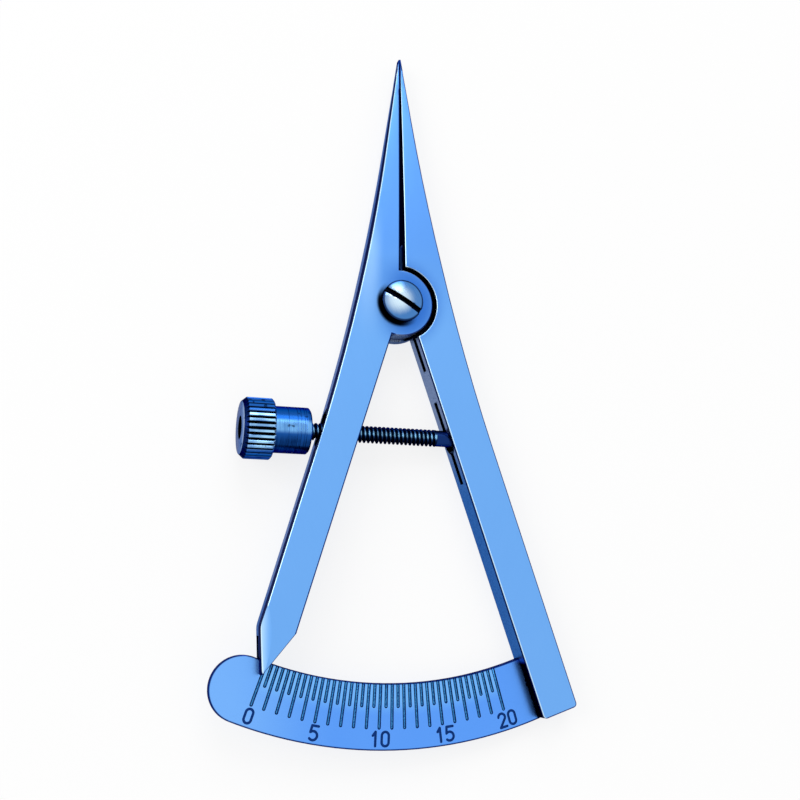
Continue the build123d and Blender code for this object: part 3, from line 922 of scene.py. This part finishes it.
# The plate's own outline, not the engraving's: an upright side meets the front or back there
def onPlateRim(edge):
    steep = sorted(abs(face.normal.z) for face in edge.link_faces)
    radius = [math.hypot(vert.co.x, vert.co.y) / mm for vert in edge.verts]
    onArc = min(radius) <= plateSizes["inner"] + plateSizes["nearArc"] \
        or max(radius) >= plateSizes["outer"] - plateSizes["nearArc"]
    onCap = any(vert.co.x / mm <= plateSizes["capFrom"] for vert in edge.verts)
    return float(steep[0] < plateSizes["steep"] and steep[1] > dressing["front"] and (onArc or onCap))


platePiece, work = mergedCopy("scale_plate", "scale_plate_dressed")
roundOff(platePiece, work, plateSizes["rounding"], onPlateRim, plateSizes["segments"])
platePiece.data.materials.append(plateFinish)
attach(platePiece, "frame")
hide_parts("scale_plate")
print("arms and scale plate dressed")


def everyEdge(edge):
    return 1.0


screwPiece, work = mergedCopy("pivot_screw", "pivot_screw_dressed")
roundOff(screwPiece, work, screwLook["rounding"], everyEdge, screwLook["segments"])
screwPiece.data.materials.append(screwFinish)
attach(screwPiece, "frame")
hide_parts("pivot_screw")


# A grid of places along the axis and radii, one row per step of the profile and one column per
# angle, is wrapped round the axis: x = pin - place, y = -drop + r cos t, z = height - r sin t.
# A ringed profile closes on itself, and any other gets flat caps at its two ends
def wrapRound(name, along, radius, turns, sunk, ringed):
    rows, columns = radius.shape
    angle = 2 * np.pi * turns
    x = axisPlace["pinX"] - np.broadcast_to(along, radius.shape)
    y = -axisPlace["drop"] + radius * np.cos(angle)
    z = axisPlace["height"] - radius * np.sin(angle)
    points = np.stack([x, y, z], axis=-1).reshape(-1, 3) * mm
    row = np.arange(rows if ringed else rows - 1)[:, None]
    column = np.arange(columns)[None, :]
    nextRow, nextColumn = (row + 1) % rows, (column + 1) % columns
    corners = [row * columns + column, row * columns + nextColumn,
               nextRow * columns + nextColumn, nextRow * columns + column]
    corners = [np.broadcast_to(corner, (len(row), columns)) for corner in corners]
    faces = np.stack(corners, axis=-1).reshape(-1, 4).tolist()
    if not ringed:
        faces += [list(range(columns))[::-1], list(range((rows - 1) * columns, rows * columns))]
    mesh = bpy.data.meshes.new(name)
    mesh.from_pydata(points.tolist(), [], faces)
    mesh.attributes.new("sunk", "FLOAT", "POINT").data.foreach_set("value", sunk.ravel().astype(np.float32))
    work = bmesh.new()
    work.from_mesh(mesh)
    bmesh.ops.recalc_face_normals(work, faces=work.faces)
    for edge in work.edges:
        edge.smooth = edge.calc_face_angle(0.0) < math.radians(axisPlace["crease"])
    for face in work.faces:
        face.smooth = True
    work.to_mesh(mesh)
    work.free()
    piece = bpy.data.objects.new(name, mesh)
    bpy.context.scene.collection.objects.link(piece)
    return piece


# The spindle, in mm: the journal with its neck, the thread and the plain tail in the knob
threadSizes = {
    "journalStart": 1.75, "neck": (2.25, 2.85), "start": 3.35, "length": 16.6, "end": 25.9,
    "journal": 0.55, "journalEase": 0.05, "neckRadius": 0.35, "radius": 1.05, "tail": 0.95,
    "pitch": 0.53, "depth": 0.29, "crest": 0.23, "root": 0.10,
    "roundness": 0.35,      # 0 is a plain V, 1 is a smooth wave
    "runOut": 0.25, "shoulder": 0.10, "step": 0.001, "tailStep": 0.02,
    "samples": 18, "columns": 48,
}


# The thread: the radius drops from the crest to the root as a rounded V, once per pitch along the
# axis, and the drop starts one pitch later per right-handed turn, so the groove winds round it
def makeSpindle(size):
    start, stop = size["start"], size["start"] + size["length"]
    journal, ease, neck, top = size["journal"], size["journalEase"], size["neckRadius"], size["radius"]
    along = np.arange(start, stop, size["pitch"] / size["samples"])[:, None]
    turns = np.linspace(0, 1, size["columns"], endpoint=False)
    phase = (along - start) / size["pitch"] - turns[None, :]
    fromCrest = np.abs((phase % 1.0) - 0.5) * 2
    sink = np.clip((fromCrest - size["crest"]) / (1 - size["crest"] - size["root"]), 0, 1)
    sink = sink * sink * (3 - 2 * sink) * size["roundness"] + sink * (1 - size["roundness"])
    sink = sink * np.clip(np.minimum(along - start, stop - along) / size["runOut"], 0, 1)
    neckFrom, neckTo = size["neck"]
    before = np.array([(size["journalStart"], journal - ease), (size["journalStart"] + ease, journal),
                       (neckFrom, journal), (neckFrom, neck), (neckTo, neck), (neckTo, journal),
                       (start - size["step"], journal), (start - size["step"], top - ease)])
    shoulder, tail = stop + size["shoulder"], size["tail"]
    after = np.array([(stop, top), (shoulder, top), (shoulder + size["tailStep"], tail), (size["end"], tail)])
    ends = [np.broadcast_to(rows[:, 1:], (len(rows), size["columns"])) for rows in (before, after)]
    places = np.concatenate([before[:, :1], along, after[:, :1]])
    radius = np.concatenate([ends[0], top - size["depth"] * sink, ends[1]])
    groove = np.concatenate([np.zeros_like(ends[0]), sink, np.zeros_like(ends[1])])
    return wrapRound("spindle_thread", places, radius, turns, groove, False)


spindlePiece = makeSpindle(threadSizes)
spindlePiece.data.materials.append(threadFinish)
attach(spindlePiece, "screw_body")
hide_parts("spindle")

# One tooth across its pitch: a flat crest with eased edges, then a V groove; 1 is full depth
toothShape = ((0.0, 0.10), (0.035, 0.0), (0.16, 0.0), (0.29, 0.0), (0.415, 0.0), (0.45, 0.10),
              (0.56, 0.42), (0.67, 0.82), (0.725, 0.94), (0.78, 0.82), (0.89, 0.42))


# The knob is one closed loop of (place, radius), from the bore over the collar and the head into
# the hole, turned round the axis; on the head the radius is the lesser of the loop's and the teeth's
def makeKnob(size):
    start, head, end, hole = size["start"], size["head"], size["end"], size["hole"]
    edge, collar, top, fillet = size["collarChamfer"], size["collar"], size["radius"], size["fillet"]
    holeEnd, chamfer = end - size["holeDepth"], size["frontChamfer"]
    easeAlong, easeAcross = size["ease"]
    loop = [(holeEnd, size["tailBore"]), (size["seat"], size["tailBore"]), (size["seat"], size["bore"]),
            (start, size["bore"]), (start, collar - edge - easeAcross),
            (start + easeAlong, collar - edge + easeAcross),
            (start + edge - easeAlong, collar - easeAcross), (start + edge + easeAcross, collar)]
    for place in size["turned"]:
        u, low, wide = start + place, collar - size["turnedDepth"], size["turnedWidth"]
        loop += [(u, collar), (u + wide * 0.2, low), (u + wide * 0.8, low), (u + wide, collar)]
    back = size["backChamfer"]
    loop += [(head - fillet, collar), (head, collar + fillet)]
    loop += [(head, radius) for radius in np.linspace(top - size["toothDepth"] - fillet, top - back, 3)]
    loop += [(head + back * share, top - back + back * share) for share in (0.3, 0.7, 1.0)]
    loop += [(u, top) for u in np.linspace(head + size["crestFrom"], end - chamfer, size["steps"])]
    slope = top - size["front"]
    shares = np.linspace(*size["chamferShares"], size["steps"])
    loop += [(end - chamfer * (1 - share), top - slope * share) for share in shares]
    loop += [(end, size["front"] - easeAlong), (end, hole + fillet), (end - fillet, hole), (holeEnd, hole)]
    loop = np.array(loop)
    share, depth = np.array(toothShape).T
    turns = ((np.arange(size["teeth"])[:, None] + share[None, :]) / size["teeth"]).ravel()
    depth = np.tile(depth, size["teeth"])[None, :]
    teeth = top - size["toothDepth"] * depth
    along, profile = loop[:, :1], loop[:, 1:]
    outside = (along >= head) & (profile > hole + 2 * fillet)
    radius = np.where(outside, np.minimum(profile, teeth), profile)
    sunk = np.where((along >= head) & (profile > teeth), depth, 0.0)
    return wrapRound("knob_turned", along, radius, turns, sunk, True)


knobPiece = makeKnob(knobSizes)
knobPiece.data.materials.append(knobFinish)
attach(knobPiece, "screw_body")
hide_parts("knob")
print("spindle and knob made")

# The CAD's own pieces keep their shape and get a finish
for node, finish in (("swivel", spindleFinish), ("journal_pin", spindleFinish), ("swivel_pin", hiddenFinish),
                     ("trunnion_nut", hiddenFinish), ("plate_pins", hiddenFinish)):
    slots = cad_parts[node].data.materials
    if len(slots):
        slots[0] = finish
    else:
        slots.append(finish)
print("other pieces finished")


# The stage: floor, world and lamps, in metres
stageLook = {
    "floor": 0.96,
    "floorVaries": 0.01,
    "floorGrain": 6.0,
    "floorSize": 1.5,       # from its middle to its edge
    "floorPoint": (22.71, -48.17, -0.02),           # mm, where the foot touches
    "floorNormal": (-0.0678, -0.0219, 0.9975),      # the caliper leans on its knob
    "floorRoughness": 0.6,
    "world": 0.66,
    "glow": 0.80,           # share of plain white in what the camera sees of the floor
    "lamps": {"leftBox": (-0.80, 0.20, 0.55), "topBox": (-0.05, 0.75, 0.65)},
    "lampSize": 0.6,
    "lampPower": 3.0,
}


def makeFloor():
    size = stageLook["floorSize"]
    mesh = bpy.data.meshes.new("floor")
    corners = [(-size, -size, 0), (size, -size, 0), (size, size, 0), (-size, size, 0)]
    mesh.from_pydata(corners, [], [(0, 1, 2, 3)])
    floor = bpy.data.objects.new("floor", mesh)
    bpy.context.scene.collection.objects.link(floor)
    normal = np.array(stageLook["floorNormal"])
    normal = normal / np.linalg.norm(normal)
    floor.rotation_euler = (-math.asin(normal[1]), math.atan2(normal[0], normal[2]), 0)
    floor.location = [part * mm for part in stageLook["floorPoint"]]
    material, tree, shader, where = newMaterial("floorPaint", stageLook["floorRoughness"], 0.0)
    shade, varies = stageLook["floor"], stageLook["floorVaries"]
    tone = grain(tree, where["Object"], stageLook["floorGrain"])
    tone = fade(tree, tone, 0.0, 1.0, shade - varies, shade + varies)
    mix = addNode(tree, "ShaderNodeCombineColor", {0: tone, 1: tone, 2: tone})
    tree.links.new(mix.outputs[0], shader.inputs["Base Color"])
    shader.inputs["Specular IOR Level"].default_value = 0.0
    glow = addNode(tree, "ShaderNodeEmission", {"Color": (1, 1, 1, 1), "Strength": 1.0})
    rays = tree.nodes.new("ShaderNodeLightPath").outputs
    seen = calc(tree, "MAXIMUM", rays["Is Camera Ray"], rays["Is Glossy Ray"])
    blend = addNode(tree, "ShaderNodeMixShader", {0: calc(tree, "MULTIPLY", seen, stageLook["glow"]),
                                                  1: shader.outputs[0], 2: glow.outputs[0]})
    tree.links.new(blend.outputs[0], tree.nodes["Material Output"].inputs["Surface"])
    mesh.materials.append(material)


def makeWorld():
    world = bpy.data.worlds.new("studio")
    bpy.context.scene.world = world
    world.use_nodes = True
    tree = world.node_tree
    background = tree.nodes["Background"]
    rays = tree.nodes.new("ShaderNodeLightPath").outputs
    shiny = calc(tree, "MAXIMUM", rays["Is Glossy Ray"], rays["Is Transmission Ray"])
    seen = calc(tree, "MAXIMUM", rays["Is Camera Ray"], shiny)
    strength = fade(tree, seen, 0.0, 1.0, stageLook["world"], 1.0, kind="LINEAR")
    tree.links.new(strength, background.inputs["Strength"])
    background.inputs["Color"].default_value = (1, 1, 1, 1)


def addLamp(name, place):
    data = bpy.data.lights.new(name, "AREA")
    data.shape = "SQUARE"
    data.size = stageLook["lampSize"]
    data.energy = stageLook["lampPower"]
    lamp = bpy.data.objects.new(name, data)
    lamp.location = place
    lamp.rotation_euler = (-Vector(place)).to_track_quat("-Z", "Y").to_euler()
    bpy.context.scene.collection.objects.link(lamp)


makeFloor()
makeWorld()
for name, place in stageLook["lamps"].items():
    addLamp(name, place)
print("stage set")
